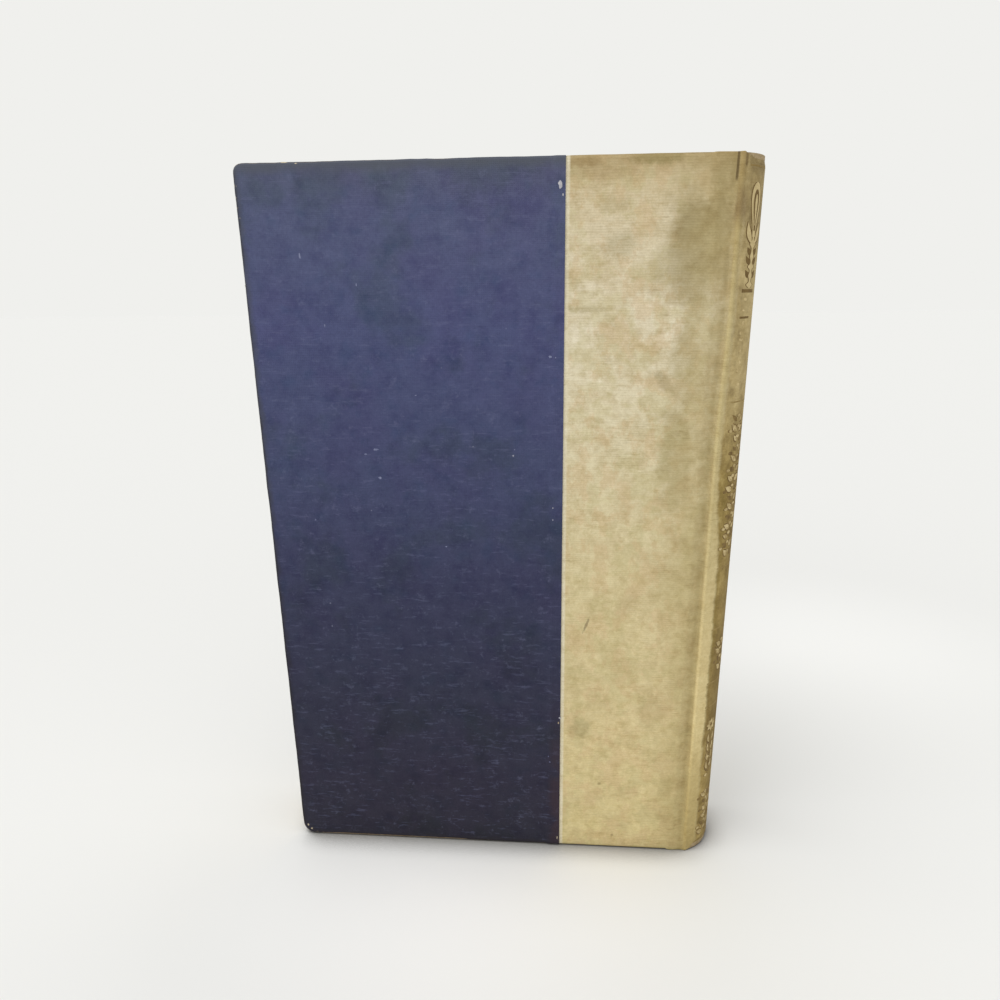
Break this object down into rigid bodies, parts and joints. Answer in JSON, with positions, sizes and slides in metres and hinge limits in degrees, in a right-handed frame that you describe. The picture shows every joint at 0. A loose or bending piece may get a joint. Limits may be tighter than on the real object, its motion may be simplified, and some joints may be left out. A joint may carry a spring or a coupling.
{
  "type": "hardback book",
  "caption": "Closed quarter-bound hardback book with two hinged cloth-covered boards, a rounded spine and a text block of sewn sections.",
  "frame": {"origin": "centre of the closed book's bounding box, at the foot it stands on", "axes": "+X from the fore edge to the spine, +Y from the back cover to the front cover, +Z from tail to head"},
  "size_m": [0.1308, 0.023, 0.2],
  "materials": {
    "page_edges": "toned, uncoated book paper, trimmed edges",
    "thread": "linen sewing thread",
    "mull": "open starched gauze",
    "kraft_paper": "brown kraft paper",
    "band_silk": "striped silk on a cotton tape",
    "endpaper": "plain toned endpaper",
    "inlay_card": "grey-brown card",
    "cream_cloth": "soiled unbleached linen book cloth",
    "blue_cloth": "worn deep blue book cloth",
    "board": "straw board"
  },
  "bodies": {
    "text_and_spine": {"text_block": "page_edges", "sewing_thread": "thread", "mull_lining": "mull", "paper_lining": "kraft_paper", "headband": "band_silk", "tailband": "band_silk", "front_flyleaf": "endpaper", "back_flyleaf": "endpaper", "spine_inlay": "inlay_card", "spine_cloth": "cream_cloth"},
    "front_cover": {"front_board": "board", "front_mull_flange": "mull", "front_pastedown": "endpaper", "front_side_cloth": "blue_cloth", "front_quarter_cloth": "cream_cloth"},
    "back_cover": {"back_board": "board", "back_mull_flange": "mull", "back_pastedown": "endpaper", "back_side_cloth": "blue_cloth", "back_quarter_cloth": "cream_cloth"}
  },
  "joints": [
    {"name": "front_cover_hinge", "type": "hinge", "parent": "text_and_spine", "child": "front_cover", "pos_m": [0.05425, 0.0121, 0.1], "axis": [0, 0, -1], "range_deg": [0, 180]},
    {"name": "back_cover_hinge", "type": "hinge", "parent": "text_and_spine", "child": "back_cover", "pos_m": [0.05425, -0.0121, 0.1], "axis": [0, 0, 1], "range_deg": [0, 180]}
  ]
}
